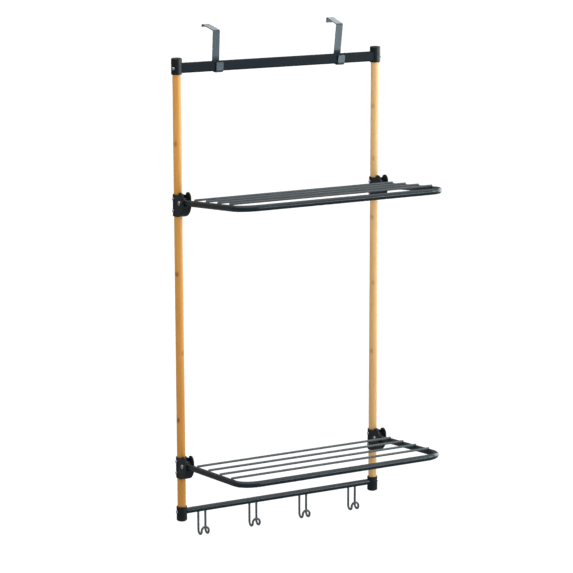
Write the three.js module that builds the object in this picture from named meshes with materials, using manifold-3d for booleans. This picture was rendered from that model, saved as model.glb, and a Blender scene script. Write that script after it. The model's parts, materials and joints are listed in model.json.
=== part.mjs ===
// Over-the-door storage rack: two bamboo posts joined by two steel bars, two fold-up wire shelves
// hinged on plastic brackets, four double wire hooks under the bottom bar, and two steel strip
// hooks that carry the top bar over a door.
// Millimetres. +X is to the right, +Y towards the door, +Z up.
// The origin is the middle of the top bar, which the door hooks carry.

import * as THREE from 'three';
import Module from 'manifold-3d';
import { mergeVertices } from 'three/addons/utils/BufferGeometryUtils.js';

const wasm = await Module();
wasm.setup();

// ---- Driving dimensions ----

const GAP = 0.3;                 // air between two pieces that touch
const ROUND_SIDES = 24;          // facets of the posts, caps and collars
const TUBE_SIDES = 16;
const WIRE_SIDES = 10;           // wires, screws and their holes

const POST_X = 290;              // each post's centre, left and right of the middle
const POST_R = 11;
const BOTTOM_BAR_Z = -1174;
const TUBE_R = 8;                // bottom bar and shelf tubes
const TUBE_WALL = 1.2;

const TOP_BAR_TALL = 25;
const TOP_BAR_DEEP = 20;
const TOP_BAR_CORNER = 3;
const TOP_BAR_WALL = 1.5;

const CAP_R = 14;                // end caps and bracket collars
const SOCKET_R = POST_R + 0.4;   // bore of a cap or a collar round the post
const SPIGOT_LENGTH = 32;        // reach of a cap's spigot from the post's centre into the bar
const SPIGOT_CORNER = 1.2;
const TOP_CAP_ABOVE = 26;        // from the bar's centre to the cap's top
const TOP_CAP_BELOW = 16;
const TOP_CAP_EDGE = 3;
const TOP_CAP_ROOF = 5;          // plastic beyond the post's end
const TOP_SCREW_TURN = 30;       // degrees from the outer side round to the front
const BOTTOM_CAP_ABOVE = 14.5;
const BOTTOM_CAP_BELOW = 27;
const BOTTOM_CAP_DOME = 5;
const BOTTOM_CAP_ROOF = 7;

const SHELF_Z = { upper: -341.5, lower: -1041.5 };   // pivot heights
const PIVOT_FORWARD = 33.7;      // from the post's centre to the pivot
const SHELF_TILT = 6.1;          // degrees that the shelf rises to the front
const SHELF_REACH = 333;         // from the pivot to the front tube's centre
const SHELF_BEND_R = 47;
const SHELF_WIRES = 4;
const WIRE_R = 3;                // shelf wires and towel hooks
const WIRE_HALF_LENGTH = 290;
const WIRE_SINK = 1.4;           // welding sets a shelf wire this far into the arms

const CHEEK_HALF = 12.5;         // outer faces of the bracket's two cheeks
const SLOT_HALF = 8.8;           // the gap between them, where the shelf arm turns
const COLLAR_TOP = 18;           // heights from the pivot
const COLLAR_BOTTOM = -39;
const LOBE = { forward: 39, height: 13.5, radius: 15, lastTurn: 160 };
const BELLY = { foot: 12, pullForward: 44, pullHeight: -37, frontHeight: -8 };
const SCREW_HEIGHTS = { high: 6, low: -25 };
const EYE_R = 13;
const EYE_HALF = 8.2;
const EYE_CLEARANCE = 1.5;
const PLUG_LENGTH = 24;          // of the eye's plug inside the tube
const TUBE_START = 14;           // from the pivot to the shelf tube's cut end

const SCREW = { headR: 4, headTall: 2.4, shankR: 1.7, length: 12 };
const BOLT = { headR: 6, headTall: 3.2, shankR: 3, length: 31.5 };
const NUT = { acrossFlats: 10, tall: 5 };

const HOOK_COUNT = 4;
const HOOK_PITCH = 152;
const HOOK_ROW_SHIFT = -3.6;     // the row of hooks sits a little left of the middle
const HOOK_HALF_WIDTH = 10.4;
const HOOK_DROP = 67;            // from the bar's centre to the lowest wire's centre
const HOOK_U_R = 10;

const STRIP = { width: 20, thick: 2 };
const DOOR_HOOKS = [
  { name: 'left_door_hook', x: -174, lean: 4.5, depth: 67, backLip: 7 },
  { name: 'right_door_hook', x: 181, lean: 9.5, depth: 55, backLip: 14 },
];
const J_HALF = 13;               // strip's centre line in front of and behind the bar
const J_BOTTOM = -15;
const LIP_TOP = 11.5;
const J_BEND_R = 8;
const STRIP_TOP = 89;
const TOP_BEND_R = 3;
const DOOR_RISE = 4.5;           // degrees that the top plate rises to the back

// ---- Materials ----

const powderCoat = new THREE.MeshStandardMaterial({ color: 0x2a3238, roughness: 0.45, metalness: 0.1 });
const blackPlastic = new THREE.MeshStandardMaterial({ color: 0x20272b, roughness: 0.4, metalness: 0 });
const zincSteel = new THREE.MeshStandardMaterial({ color: 0xd5d9db, roughness: 0.3, metalness: 1 });
const bamboo = new THREE.MeshStandardMaterial({ color: 0xcb9a5c, roughness: 0.45, metalness: 0 });

// ---- Solids ----

const radians = THREE.MathUtils.degToRad;

// A closed geometry as a solid that can be cut and joined.
function solid(geometry) {
  const bare = geometry.clone();
  bare.deleteAttribute('normal');
  bare.deleteAttribute('uv');
  const merged = mergeVertices(bare, 1e-4);
  const corners = merged.index.array;
  const kept = [];
  for (let i = 0; i < corners.length; i += 3) {
    const [a, b, c] = [corners[i], corners[i + 1], corners[i + 2]];
    if (a !== b && b !== c && c !== a) kept.push(a, b, c);
  }
  return new wasm.Manifold(new wasm.Mesh({
    numProp: 3,
    vertProperties: Float32Array.from(merged.attributes.position.array),
    triVerts: Uint32Array.from(kept),
  }));
}

function geometryOf(manifold) {
  const mesh = manifold.getMesh();
  const geometry = new THREE.BufferGeometry();
  geometry.setAttribute('position', new THREE.BufferAttribute(mesh.vertProperties, 3));
  geometry.setIndex(new THREE.BufferAttribute(mesh.triVerts, 1));
  geometry.computeVertexNormals();
  return geometry;
}

function piece(name, geometry, material) {
  const shape = geometry instanceof THREE.BufferGeometry ? solid(geometry) : geometry;
  const mesh = new THREE.Mesh(geometryOf(shape), material);
  mesh.name = name;
  return mesh;
}

// ---- Shapes ----

function ring(radius, sides) {
  const corner = (i) => {
    const turn = (2 * Math.PI * (i + 0.5)) / sides;
    return new THREE.Vector2(radius * Math.cos(turn), radius * Math.sin(turn));
  };
  return Array.from({ length: sides }, (_, i) => corner(i));
}

function disc(radius, sides) {
  return new THREE.Shape(ring(radius, sides));
}

function pipe(radius, wall, sides) {
  const shape = disc(radius, sides);
  shape.holes.push(new THREE.Path(ring(radius - wall, sides)));
  return shape;
}

function roundedBox(width, height, corner) {
  const [w, h] = [width / 2, height / 2];
  const shape = new THREE.Shape();
  shape.moveTo(-w + corner, -h);
  shape.lineTo(w - corner, -h);
  shape.absarc(w - corner, -h + corner, corner, -Math.PI / 2, 0);
  shape.absarc(w - corner, h - corner, corner, 0, Math.PI / 2);
  shape.absarc(-w + corner, h - corner, corner, Math.PI / 2, Math.PI);
  shape.absarc(-w + corner, -h + corner, corner, Math.PI, 1.5 * Math.PI);
  return shape;
}

function prism(shape, length, curveSegments = 4) {
  const options = { depth: length, bevelEnabled: false, curveSegments };
  return new THREE.ExtrudeGeometry(shape, options).translate(0, 0, -length / 2);
}

// A prism whose length lies across the rack. The shape's x runs along Y and its y along Z.
function acrossBar(shape, length) {
  return prism(shape, length).applyMatrix4(new THREE.Matrix4().makeBasis(
    new THREE.Vector3(0, 1, 0), new THREE.Vector3(0, 0, 1), new THREE.Vector3(1, 0, 0)));
}

// The same for a side view: the shape's x runs forward from the post and its y up.
function sideView(shape, width, curveSegments = 7) {
  return prism(shape, width, curveSegments).applyMatrix4(new THREE.Matrix4().makeBasis(
    new THREE.Vector3(0, -1, 0), new THREE.Vector3(0, 0, 1), new THREE.Vector3(-1, 0, 0)));
}

function upright(radius, low, high, sides) {
  return new THREE.CylinderGeometry(radius, radius, high - low, sides)
    .rotateX(Math.PI / 2).translate(0, 0, (low + high) / 2);
}

function crosswise(radius, length, sides) {
  return new THREE.CylinderGeometry(radius, radius, length, sides).rotateZ(Math.PI / 2);
}

// A turned piece. The profile runs upwards on the outside, from axis to axis.
function turned(profile, sides) {
  const points = profile.map(([radius, height]) => new THREE.Vector2(radius, height));
  return new THREE.LatheGeometry(points, sides).rotateX(Math.PI / 2);
}

// Straight legs joined by round bends: one radius for each inner corner.
class BentPath extends THREE.Curve {
  constructor(corners, radii, bendSteps) {
    super();
    this.stations = [];
    const heading = (i) => corners[i + 1].clone().sub(corners[i]).normalize();
    this.add(corners[0], heading(0));
    radii.forEach((radius, i) => {
      const [before, after] = [heading(i), heading(i + 1)];
      const angle = before.angleTo(after);
      const inward = after.clone().addScaledVector(before, -before.dot(after)).normalize();
      const start = corners[i + 1].clone().addScaledVector(before, -radius * Math.tan(angle / 2));
      for (let step = 0; step <= bendSteps; step++) {
        const turn = (angle * step) / bendSteps;
        const point = start.clone().addScaledVector(before, radius * Math.sin(turn))
          .addScaledVector(inward, radius * (1 - Math.cos(turn)));
        const tangent = before.clone().multiplyScalar(Math.cos(turn))
          .addScaledVector(inward, Math.sin(turn));
        this.add(point, tangent);
      }
    });
    this.add(corners.at(-1), heading(corners.length - 2));
  }

  add(point, tangent) {
    const last = this.stations.at(-1);
    if (last && last.point.distanceTo(point) < 0.01) return;
    this.stations.push({ point: point.clone(), tangent: tangent.clone() });
  }

  get steps() {
    return this.stations.length - 1;
  }

  getUtoTmapping(u) {
    return u;
  }

  getPoint(t, target = new THREE.Vector3()) {
    return target.copy(this.stations[Math.round(t * this.steps)].point);
  }

  getTangent(t, target = new THREE.Vector3()) {
    return target.copy(this.stations[Math.round(t * this.steps)].tangent);
  }
}

function along(shape, path) {
  return new THREE.ExtrudeGeometry(shape, { extrudePath: path, steps: path.steps });
}

// ---- Fasteners ----

// A dome-headed screw along X: its head stands to the left of X = 0 and its shank runs right.
function fastener({ headR, headTall, shankR, length }, sides) {
  const profile = [
    [0, -length],
    [shankR, -length],
    [shankR, 0],
    [headR, 0],
    [headR, 0.35 * headTall],
    [0.8 * headR, 0.8 * headTall],
    [0.4 * headR, headTall],
    [0, headTall],
  ];
  return turned(profile, sides).rotateY(-Math.PI / 2);
}

function nut() {
  const shape = disc(NUT.acrossFlats / Math.sqrt(3), 6);
  shape.holes.push(new THREE.Path(ring(BOLT.shankR + GAP, TUBE_SIDES)));
  return acrossBar(shape, NUT.tall);
}

// The hole that a screw's shank needs, from the left face inwards.
function screwHole() {
  const reach = SCREW.length + 1;
  return solid(crosswise(SCREW.shankR + GAP, 2 * reach, WIRE_SIDES).translate(-CAP_R, 0, 0));
}

// The hole round a pivot bolt, through a bracket or an eye.
function boltHole() {
  return solid(crosswise(BOLT.shankR + GAP, 4 * CHEEK_HALF, TUBE_SIDES));
}

// Degrees round the post from its left side to each cap screw. Both face away from the rack.
function screwTurns(side) {
  const outward = side < 0 ? 0 : 180;
  return { top: outward - side * TOP_SCREW_TURN, bottom: outward };
}

// ---- Posts and bars ----

const TOP_POST_END = TOP_CAP_ABOVE - TOP_CAP_ROOF - GAP;
const BOTTOM_POST_END = BOTTOM_BAR_Z - BOTTOM_CAP_BELOW + BOTTOM_CAP_ROOF + GAP;

function post(name, side) {
  const edge = 1;
  const profile = [
    [0, BOTTOM_POST_END],
    [POST_R - edge, BOTTOM_POST_END],
    [POST_R, BOTTOM_POST_END + edge],
    [POST_R, TOP_POST_END - edge],
    [POST_R - edge, TOP_POST_END],
    [0, TOP_POST_END],
  ];
  let wood = solid(turned(profile, ROUND_SIDES));
  for (const pivot of Object.values(SHELF_Z)) {
    for (const height of Object.values(SCREW_HEIGHTS)) {
      wood = wood.subtract(screwHole().translate([0, 0, pivot + height]));
    }
  }
  const turns = screwTurns(side);
  wood = wood.subtract(screwHole().rotate([0, 0, turns.top]));
  wood = wood.subtract(screwHole().rotate([0, 0, turns.bottom]).translate([0, 0, BOTTOM_BAR_Z]));
  const mesh = piece(name, wood, bamboo);
  mesh.position.x = side * POST_X;
  return mesh;
}

// Both bars end in a saddle cut that fits round the caps.
function saddleCut(bar, low, high) {
  const cutter = solid(upright(CAP_R + GAP, low, high, ROUND_SIDES));
  return bar.subtract(cutter.translate([-POST_X, 0, 0])).subtract(cutter.translate([POST_X, 0, 0]));
}

function topBar() {
  const section = roundedBox(TOP_BAR_DEEP, TOP_BAR_TALL, TOP_BAR_CORNER);
  const hollow = TOP_BAR_WALL * 2;
  section.holes.push(roundedBox(TOP_BAR_DEEP - hollow, TOP_BAR_TALL - hollow, TOP_BAR_CORNER - TOP_BAR_WALL));
  const bar = solid(acrossBar(section, 2 * POST_X - CAP_R));
  return piece('top_bar', saddleCut(bar, -TOP_BAR_TALL, TOP_BAR_TALL), powderCoat);
}

function bottomBar() {
  const bar = solid(acrossBar(pipe(TUBE_R, TUBE_WALL, TUBE_SIDES), 2 * POST_X - CAP_R));
  const mesh = piece('bottom_bar', saddleCut(bar, -2 * TUBE_R, 2 * TUBE_R), powderCoat);
  mesh.position.z = BOTTOM_BAR_Z;
  return mesh;
}

// ---- End caps ----

// A cap is made for the left end, with its spigot to the right and its screw on the left.
function capBody(profile, spigot, socket, screwTurn) {
  const cup = solid(turned(profile, ROUND_SIDES)).add(spigot).subtract(socket);
  return cup.subtract(screwHole().rotate([0, 0, screwTurn]));
}

function topCap(name, side) {
  const [low, high] = [-TOP_CAP_BELOW, TOP_CAP_ABOVE];
  const profile = [
    [0, low],
    [CAP_R, low],
    [CAP_R, high - TOP_CAP_EDGE],
    [CAP_R - 0.3 * TOP_CAP_EDGE, high - 0.3 * TOP_CAP_EDGE],
    [CAP_R - TOP_CAP_EDGE, high],
    [0, high],
  ];
  const inside = 2 * (TOP_BAR_WALL + GAP);
  const section = roundedBox(TOP_BAR_DEEP - inside, TOP_BAR_TALL - inside, SPIGOT_CORNER);
  const spigot = solid(acrossBar(section, SPIGOT_LENGTH).translate(SPIGOT_LENGTH / 2, 0, 0));
  const socket = solid(upright(SOCKET_R, low - 1, TOP_POST_END + GAP, ROUND_SIDES));
  const body = capBody(profile, spigot, socket, -side * TOP_SCREW_TURN);
  return placeCap(name, body, side, 0);
}

function bottomCap(name, side) {
  const [low, high] = [-BOTTOM_CAP_BELOW, BOTTOM_CAP_ABOVE];
  const dome = [0, 18, 36, 54, 72, 90].map((turn) => {
    const angle = radians(turn);
    return [CAP_R * Math.sin(angle), low + BOTTOM_CAP_DOME * (1 - Math.cos(angle))];
  });
  const profile = [...dome, [CAP_R, high], [0, high]];
  const bore = TUBE_R - TUBE_WALL - GAP;
  const spigot = solid(crosswise(bore, SPIGOT_LENGTH, TUBE_SIDES).translate(SPIGOT_LENGTH / 2, 0, 0));
  const floor = BOTTOM_POST_END - GAP - BOTTOM_BAR_Z;
  const socket = solid(upright(SOCKET_R, floor, high + 1, ROUND_SIDES));
  return placeCap(name, capBody(profile, spigot, socket, 0), side, BOTTOM_BAR_Z);
}

function placeCap(name, body, side, height) {
  const mesh = piece(name, body, blackPlastic);
  mesh.rotation.z = side < 0 ? 0 : Math.PI;
  mesh.position.set(side * POST_X, 0, height);
  return mesh;
}

// A screw whose head rests on the round of a cap or collar, turned about the post.
function screwOn(name, x, z, degrees) {
  const mesh = piece(name, fastener(SCREW, WIRE_SIDES).translate(-CAP_R - GAP, 0, 0), zincSteel);
  mesh.rotation.z = radians(degrees);
  mesh.position.set(x, 0, z);
  return mesh;
}

// ---- Shelf brackets ----

// Side view: a collar on the post, a belly under the arm and a round lobe above it.
function bracketOutline() {
  const outline = new THREE.Shape();
  const front = LOBE.forward + LOBE.radius;
  outline.moveTo(0, COLLAR_BOTTOM);
  outline.lineTo(BELLY.foot, COLLAR_BOTTOM);
  outline.quadraticCurveTo(BELLY.pullForward, BELLY.pullHeight, front, BELLY.frontHeight);
  outline.lineTo(front, LOBE.height);
  outline.absarc(LOBE.forward, LOBE.height, LOBE.radius, 0, radians(LOBE.lastTurn));
  outline.lineTo(CAP_R - 3, COLLAR_TOP);
  outline.lineTo(0, COLLAR_TOP);
  return outline;
}

// The arm turns up in this slot and rests on its raised front edge.
function slotOutline() {
  const slope = Math.tan(radians(SHELF_TILT));
  const restHeight = (forward) => slope * forward - TUBE_R / Math.cos(radians(SHELF_TILT)) - GAP;
  const clear = EYE_R + EYE_CLEARANCE;
  const corner = clear / 2;
  const beyond = LOBE.forward + LOBE.radius;
  const corners = [
    [-clear, beyond],
    [-clear, -corner],
    [-corner, -clear],
    [corner, -clear],
    [EYE_R, restHeight(EYE_R)],
    [beyond, restHeight(beyond)],
    [beyond, beyond],
  ];
  return new THREE.Shape(corners.map(([forward, up]) => new THREE.Vector2(PIVOT_FORWARD + forward, up)));
}

function bracketBody() {
  const collar = solid(upright(CAP_R, COLLAR_BOTTOM, COLLAR_TOP, ROUND_SIDES));
  const cheeks = solid(sideView(bracketOutline(), 2 * CHEEK_HALF));
  const bore = solid(upright(SOCKET_R, COLLAR_BOTTOM - 5, COLLAR_TOP + 5, ROUND_SIDES));
  const slot = solid(sideView(slotOutline(), 2 * SLOT_HALF));
  const pivot = boltHole().translate([0, -PIVOT_FORWARD, 0]);
  let body = collar.add(cheeks).subtract(bore).subtract(slot).subtract(pivot);
  for (const height of Object.values(SCREW_HEIGHTS)) {
    body = body.subtract(screwHole().translate([0, 0, height]));
  }
  return body;
}

function bracket(name, side, pivotZ, body) {
  const group = new THREE.Group();
  const mesh = piece(name, body, blackPlastic);
  mesh.position.set(side * POST_X, 0, pivotZ);
  group.add(mesh);
  for (const [level, height] of Object.entries(SCREW_HEIGHTS)) {
    group.add(screwOn(`${name}_${level}_screw`, side * POST_X, pivotZ + height, 0));
  }
  const bolt = piece(`${name}_pivot_bolt`, fastener(BOLT, TUBE_SIDES), zincSteel);
  bolt.position.set(side * POST_X - CHEEK_HALF - GAP, -PIVOT_FORWARD, pivotZ);
  group.add(bolt);
  const lock = piece(`${name}_pivot_nut`, nut(), zincSteel);
  lock.position.set(side * POST_X + CHEEK_HALF + GAP + NUT.tall / 2, -PIVOT_FORWARD, pivotZ);
  group.add(lock);
  return group;
}

// ---- Shelves ----

// The eye at each arm's end: a disc on the pivot bolt with a plug inside the tube.
function armEye() {
  const plugR = TUBE_R - TUBE_WALL - GAP;
  const plugEnd = TUBE_START + PLUG_LENGTH;
  const plug = new THREE.CylinderGeometry(plugR, plugR, plugEnd, TUBE_SIDES).translate(0, -plugEnd / 2, 0);
  const eye = solid(crosswise(EYE_R, 2 * EYE_HALF, ROUND_SIDES)).add(solid(plug));
  return eye.subtract(boltHole());
}

// A shelf wire, hollowed under each end where it sits in the arm.
function shelfWire(seat) {
  const arm = solid(new THREE.CylinderGeometry(TUBE_R + GAP, TUBE_R + GAP, 4 * WIRE_R, ROUND_SIDES));
  const rod = solid(crosswise(WIRE_R, 2 * WIRE_HALF_LENGTH, WIRE_SIDES));
  return rod.subtract(arm.translate([-POST_X, 0, -seat])).subtract(arm.translate([POST_X, 0, -seat]));
}

function shelf(level) {
  const group = new THREE.Group();
  const start = -TUBE_START;
  const route = new BentPath([
    new THREE.Vector3(-POST_X, start, 0),
    new THREE.Vector3(-POST_X, -SHELF_REACH, 0),
    new THREE.Vector3(POST_X, -SHELF_REACH, 0),
    new THREE.Vector3(POST_X, start, 0),
  ], [SHELF_BEND_R, SHELF_BEND_R], 6);
  group.add(piece(`${level}_shelf_tube`, along(pipe(TUBE_R, TUBE_WALL, TUBE_SIDES), route), powderCoat));
  const seat = TUBE_R + WIRE_R - WIRE_SINK;
  for (let i = 1; i <= SHELF_WIRES; i++) {
    const wire = piece(`${level}_shelf_wire_${i}`, shelfWire(seat), powderCoat);
    wire.position.set(0, (-SHELF_REACH * i) / (SHELF_WIRES + 1), seat);
    group.add(wire);
  }
  const eye = armEye();
  for (const [side, word] of [[-1, 'left'], [1, 'right']]) {
    const mesh = piece(`${level}_shelf_${word}_eye`, eye, blackPlastic);
    mesh.position.x = side * POST_X;
    group.add(mesh);
  }
  group.position.set(0, -PIVOT_FORWARD, SHELF_Z[level]);
  group.rotation.x = -radians(SHELF_TILT);
  return group;
}

// ---- Wire hooks ----

function towelHook(name, x) {
  const [w, front, low] = [HOOK_HALF_WIDTH, -2 * HOOK_U_R, -HOOK_DROP];
  const weld = -TUBE_R - GAP;
  const tip = low + HOOK_U_R + HOOK_HALF_WIDTH;
  const route = new BentPath([
    new THREE.Vector3(-w, 0, weld),
    new THREE.Vector3(-w, 0, low),
    new THREE.Vector3(-w, front, low),
    new THREE.Vector3(-w, front, tip),
    new THREE.Vector3(w, front, tip),
    new THREE.Vector3(w, front, low),
    new THREE.Vector3(w, 0, low),
    new THREE.Vector3(w, 0, weld),
  ], [HOOK_U_R, HOOK_U_R, HOOK_HALF_WIDTH, HOOK_HALF_WIDTH, HOOK_U_R, HOOK_U_R], 4);
  const mesh = piece(name, along(disc(WIRE_R, WIRE_SIDES), route), powderCoat);
  mesh.position.set(x, 0, BOTTOM_BAR_Z);
  return mesh;
}

// ---- Door hooks ----

// One bent steel strip: a J under the bar, a riser behind it, a plate over the door and a lip.
function doorHook({ name, x, lean, depth, backLip }) {
  const [half, wide] = [STRIP.thick / 2, STRIP.width / 2];
  const section = new THREE.Shape([
    new THREE.Vector2(-half, -wide),
    new THREE.Vector2(half, -wide),
    new THREE.Vector2(half, wide),
    new THREE.Vector2(-half, wide),
  ]);
  const rise = radians(DOOR_RISE);
  const backY = J_HALF + depth * Math.cos(rise);
  const backZ = STRIP_TOP + depth * Math.sin(rise);
  const route = new BentPath([
    new THREE.Vector3(0, -J_HALF, LIP_TOP),
    new THREE.Vector3(0, -J_HALF, J_BOTTOM),
    new THREE.Vector3(0, J_HALF, J_BOTTOM),
    new THREE.Vector3(0, J_HALF, STRIP_TOP),
    new THREE.Vector3(0, backY, backZ),
    new THREE.Vector3(0, backY, backZ - backLip),
  ], [J_BEND_R, J_BEND_R, TOP_BEND_R, TOP_BEND_R], 5);
  const mesh = piece(name, along(section, route), powderCoat);
  mesh.rotation.x = radians(lean);
  mesh.position.x = x;
  return mesh;
}

// ---- The rack ----

const rack = new THREE.Group();
const body = bracketBody();

rack.add(topBar(), bottomBar());
for (const [side, word] of [[-1, 'left'], [1, 'right']]) {
  rack.add(post(`${word}_post`, side));
  rack.add(topCap(`top_${word}_cap`, side));
  rack.add(bottomCap(`bottom_${word}_cap`, side));
  const turns = screwTurns(side);
  rack.add(screwOn(`top_${word}_cap_screw`, side * POST_X, 0, turns.top));
  rack.add(screwOn(`bottom_${word}_cap_screw`, side * POST_X, BOTTOM_BAR_Z, turns.bottom));
  for (const [level, pivotZ] of Object.entries(SHELF_Z)) {
    rack.add(bracket(`${level}_${word}_bracket`, side, pivotZ, body));
  }
}
rack.add(shelf('upper'), shelf('lower'));
for (let i = 0; i < HOOK_COUNT; i++) {
  const x = HOOK_ROW_SHIFT + (i - (HOOK_COUNT - 1) / 2) * HOOK_PITCH;
  rack.add(towelHook(`towel_hook_${i + 1}`, x));
}
for (const hook of DOOR_HOOKS) rack.add(doorHook(hook));

export default rack;
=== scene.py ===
# Over-the-door storage rack: the looks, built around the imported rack.
# Metres, in the rack's own frame: +X to the right, +Y towards the door, +Z up,
# with the origin in the middle of the top bar.

import json
import math

import bmesh
import bpy
from mathutils import Matrix, Vector

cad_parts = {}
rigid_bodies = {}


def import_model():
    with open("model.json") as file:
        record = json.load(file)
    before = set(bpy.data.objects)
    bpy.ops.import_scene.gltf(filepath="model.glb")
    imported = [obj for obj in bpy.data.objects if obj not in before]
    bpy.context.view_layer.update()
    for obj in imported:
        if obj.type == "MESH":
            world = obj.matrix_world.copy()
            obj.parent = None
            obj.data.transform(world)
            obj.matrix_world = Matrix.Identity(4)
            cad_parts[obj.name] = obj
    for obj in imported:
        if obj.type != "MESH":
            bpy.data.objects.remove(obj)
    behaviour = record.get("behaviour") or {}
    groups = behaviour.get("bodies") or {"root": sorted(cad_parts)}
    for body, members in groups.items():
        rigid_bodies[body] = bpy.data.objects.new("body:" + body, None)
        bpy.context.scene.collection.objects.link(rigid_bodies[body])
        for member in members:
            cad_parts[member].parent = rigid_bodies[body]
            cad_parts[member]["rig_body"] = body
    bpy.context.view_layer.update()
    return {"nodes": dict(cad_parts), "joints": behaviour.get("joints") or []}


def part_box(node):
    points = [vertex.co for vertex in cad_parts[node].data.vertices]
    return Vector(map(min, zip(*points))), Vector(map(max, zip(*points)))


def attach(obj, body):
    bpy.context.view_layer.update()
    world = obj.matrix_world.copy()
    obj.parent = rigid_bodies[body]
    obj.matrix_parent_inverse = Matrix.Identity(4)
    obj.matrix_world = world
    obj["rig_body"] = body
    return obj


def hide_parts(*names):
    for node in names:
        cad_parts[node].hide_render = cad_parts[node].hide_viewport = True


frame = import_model()

MM = 0.001
scene = bpy.context.scene

# ---- Camera ----

LENS = 143.03
CAMERA_PLACE = Vector((-2.7204, -5.2290, 0.6726))
CAMERA_AZIMUTH = -27.69          # degrees left of straight in front
CAMERA_ELEVATION = 12.15
CAMERA_ROLL = -0.10
CAMERA_SHIFT = (0.0, 0.0005)


def add_camera():
    data = bpy.data.cameras.new("camera")
    data.lens = LENS
    data.sensor_width = 36
    data.shift_x, data.shift_y = CAMERA_SHIFT
    data.clip_end = 200
    camera = bpy.data.objects.new("camera", data)
    scene.collection.objects.link(camera)
    turn = Matrix.Rotation(math.radians(CAMERA_AZIMUTH), 4, "Z")
    tilt = Matrix.Rotation(math.radians(90 - CAMERA_ELEVATION), 4, "X")
    roll = Matrix.Rotation(math.radians(CAMERA_ROLL), 4, "Z")
    camera.matrix_world = Matrix.Translation(CAMERA_PLACE) @ turn @ tilt @ roll
    scene.camera = camera


add_camera()

# ---- The rack's sizes ----


def middle(cad_node):
    low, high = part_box(cad_node)
    return (low + high) / 2


GAP = 0.3 * MM                   # air left between neighbouring pieces

POST_X = middle("right_post").x
POST_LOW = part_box("right_post")[0].z
POST_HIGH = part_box("right_post")[1].z
POST_R = 11 * MM
BOTTOM_BAR_Z = middle("bottom_bar").z
TUBE_R = 8 * MM
TUBE_WALL = 1.2 * MM

TOP_BAR_TALL = 25 * MM
TOP_BAR_DEEP = 20 * MM
TOP_BAR_CORNER = 3 * MM
TOP_BAR_WALL = 1.5 * MM

CAP_R = 14 * MM
SOCKET_R = POST_R + 0.4 * MM
SPIGOT_START = 4 * MM            # both ends measured from the post's axis
SPIGOT_LENGTH = 32 * MM
SPIGOT_CORNER = 1.2 * MM
TOP_CAP_ABOVE = 26 * MM
TOP_CAP_BELOW = 16 * MM
BOTTOM_CAP_ABOVE = 14.5 * MM
BOTTOM_CAP_BELOW = 27 * MM
DOME_TALL = 5 * MM
TOP_SCREW_TURN = 30              # degrees from the outer side round to the front

PIVOTS = {joint["name"].split("_")[0]: Vector(joint["pos_m"])
          for joint in frame["joints"] if joint["name"].endswith("_fold")}
PIVOT_FORWARD = -PIVOTS["upper"].y
SHELF_TILT = math.radians(6.1)
SHELF_REACH = 333 * MM
SHELF_BEND_R = 47 * MM
SHELF_WIRES = 4
TUBE_START = 14 * MM
WIRE_R = 3 * MM
WIRE_HALF_LENGTH = 290 * MM
WIRE_SINK = 1.4 * MM             # welding sets a shelf wire this far into the arms

CHEEK_HALF = 12.5 * MM
SLOT_HALF = 8.8 * MM
COLLAR_TOP = 18 * MM
COLLAR_BOTTOM = -39 * MM
LOBE_FORWARD = 39 * MM
LOBE_HEIGHT = 13.5 * MM
LOBE_R = 15 * MM
# the belly below the arm is one curve from the collar's foot to the lobe, as (forward, up)
BELLY_FOOT = Vector((12 * MM, COLLAR_BOTTOM))
BELLY_PULL = Vector((44 * MM, -37 * MM))
BELLY_FRONT = Vector((LOBE_FORWARD + LOBE_R, -8 * MM))
BELLY_STEPS = 16
SCREW_HEIGHTS = {"high": 6 * MM, "low": -25 * MM}
EYE_R = 13 * MM
EYE_HALF = 8.2 * MM
EYE_CLEARANCE = 1.5 * MM
PLUG_LENGTH = 24 * MM

SCREW_HEAD_R = 4 * MM
SCREW_HEAD_TALL = 2.4 * MM
SCREW_SEAT = 0.9 * MM            # how far a screw head's skirt sinks into its pocket
SCREW_SHANK_R = 1.7 * MM
SCREW_LENGTH = 12 * MM
BOLT_HEAD_R = 6 * MM
BOLT_HEAD_TALL = 3.2 * MM
BOLT_SHANK_R = 3 * MM
BOLT_LENGTH = 31.5 * MM
NUT_ACROSS_FLATS = 10 * MM
NUT_TALL = 5 * MM

HOOK_COUNT = 4
HOOK_HALF_WIDTH = 10.4 * MM
HOOK_DROP = 67 * MM
HOOK_U_R = 10 * MM

STRIP_WIDTH = 20 * MM
STRIP_THICK = 2 * MM
J_HALF = 13 * MM
J_BOTTOM = -15 * MM
J_BEND_R = 8 * MM
LIP_TOP = 11.5 * MM
STRIP_TOP = 89 * MM
TOP_BEND_R = 3 * MM
DOOR_RISE = math.radians(4.5)
# each hook's lean on the bar, the depth of its top plate and the drop of its back lip
DOOR_HOOKS = {
    "left": (math.radians(4.5), 67 * MM, 7 * MM),
    "right": (math.radians(9.5), 55 * MM, 14 * MM),
}

SIDES = {"left": -1, "right": 1}

# ---- Materials ----


def linear(hex_colour):
    """An sRGB hex colour as linear RGBA."""
    channels = [int(hex_colour[i : i + 2], 16) / 255 for i in (1, 3, 5)]
    return [c / 12.92 if c <= 0.04045 else ((c + 0.055) / 1.055) ** 2.4 for c in channels] + [1]


def add_node(tree, kind, inputs, **settings):
    """Adds one node. An input takes a value, or another node's output, which is linked."""
    made = tree.nodes.new(kind)
    for name, value in settings.items():
        setattr(made, name, value)
    for key, value in inputs.items():
        if isinstance(value, bpy.types.NodeSocket):
            tree.links.new(value, made.inputs[key])
        else:
            made.inputs[key].default_value = value
    return made.outputs


def new_material(name):
    material = bpy.data.materials.new(name)
    material.use_nodes = True
    material.node_tree.nodes.clear()
    return material, material.node_tree


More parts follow.
